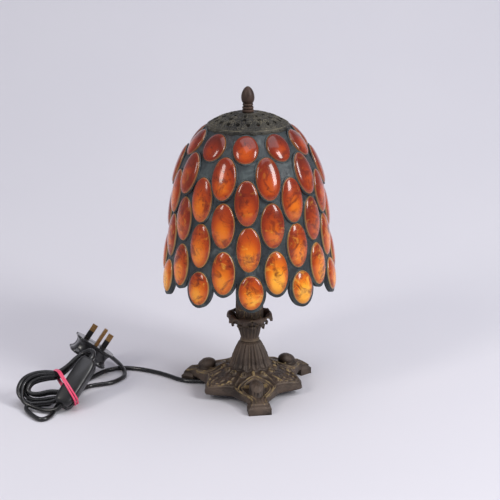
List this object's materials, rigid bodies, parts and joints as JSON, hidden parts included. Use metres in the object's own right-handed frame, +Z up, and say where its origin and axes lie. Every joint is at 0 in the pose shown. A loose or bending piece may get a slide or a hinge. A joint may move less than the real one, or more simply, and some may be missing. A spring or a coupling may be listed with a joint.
{
  "type": "mosaic glass table lamp",
  "caption": "Cast three-footed table lamp with a domed shade of oval amber glass cabochons, a pierced cap, a finial, a flex with an in-line switch and a three-pin plug.",
  "frame": {"origin": "on the floor under the lamp's vertical axis, the bottom centre of the lamp without its flex", "axes": "+Z up the stem, the front foot points towards -Y"},
  "size_m": [0.36, 0.199, 0.35],
  "materials": {
    "dark_bronze": "dark patinated casting, satin",
    "cap_bronze": "grey-green patina, matt",
    "finial_bronze": "brown patina, satin",
    "plated_steel": "zinc plated",
    "harp_metal": "dull brass",
    "holder_plastic": "moulded, matt",
    "insert_ceramic": "unglazed",
    "contact_brass": "bright brass",
    "bulb_glass": "clear",
    "filament": "glass stem with wires",
    "amber_stone": "polished, translucent amber",
    "matrix": "dark slate grey, matt",
    "cord_black": "black sheath",
    "plug_black": "moulded, semi-gloss",
    "switch_black": "moulded, satin",
    "fuse_body": "glazed",
    "band_pink": "pink rubber"
  },
  "bodies": {
    "lamp": {"base_casting": "dark_bronze", "base_nut": "plated_steel", "base_washer": "plated_steel", "bulb_cap": "contact_brass", "bulb_filament": "filament", "bulb_glass": "bulb_glass", "clamp_screws": "plated_steel", "column": "dark_bronze", "column_cap": "dark_bronze", "contact_shell": "contact_brass", "contact_tongue": "contact_brass", "cord_clamp": "plated_steel", "cord_hank": "cord_black", "cord_lead": "cord_black", "cord_tail": "cord_black", "earth_pin": "contact_brass", "fuse": "fuse_body", "fuse_carrier": "plug_black", "harp_ferrules": "harp_metal", "harp_saddle": "harp_metal", "harp_stud": "harp_metal", "harp_wires": "harp_metal", "holder_nut": "plated_steel", "inner_flex": "cord_black", "lampholder_base": "holder_plastic", "lampholder_body": "holder_plastic", "lampholder_insert": "insert_ceramic", "leaf_cup": "dark_bronze", "live_pin": "contact_brass", "live_sleeve": "plug_black", "neutral_pin": "contact_brass", "neutral_sleeve": "plug_black", "plug_body": "plug_black", "plug_relief": "plug_black", "rubber_band": "band_pink", "switch_back_half": "switch_black", "switch_front_half": "switch_black", "switch_screws": "plated_steel", "switch_terminals": "contact_brass", "threaded_pipe": "plated_steel"},
    "shade": {"shade_matrix": "matrix", "shade_cap": "cap_bronze", "stone_row_1": "amber_stone", "stone_row_2": "amber_stone", "stone_row_3": "amber_stone", "stone_row_4": "amber_stone", "stone_row_5": "amber_stone", "stone_row_6": "amber_stone", "stone_row_7": "amber_stone"},
    "finial": {"finial": "finial_bronze"},
    "rocker": {"switch_rocker": "switch_black"}
  },
  "joints": [
    {"name": "shade_turn", "type": "hinge", "parent": "lamp", "child": "shade", "pos_m": [0, 0, 0.3205], "axis": [0, 0, 1], "continuous": true},
    {"name": "finial_turn", "type": "hinge", "parent": "lamp", "child": "finial", "pos_m": [0, 0, 0.33], "axis": [0, 0, 1], "continuous": true},
    {"name": "switch_rock", "type": "hinge", "parent": "lamp", "child": "rocker", "pos_m": [-0.19461, -0.0463, 0.02436], "axis": [0.8813, -0.2808, -0.3802], "range_deg": [-16, 0]}
  ]
}
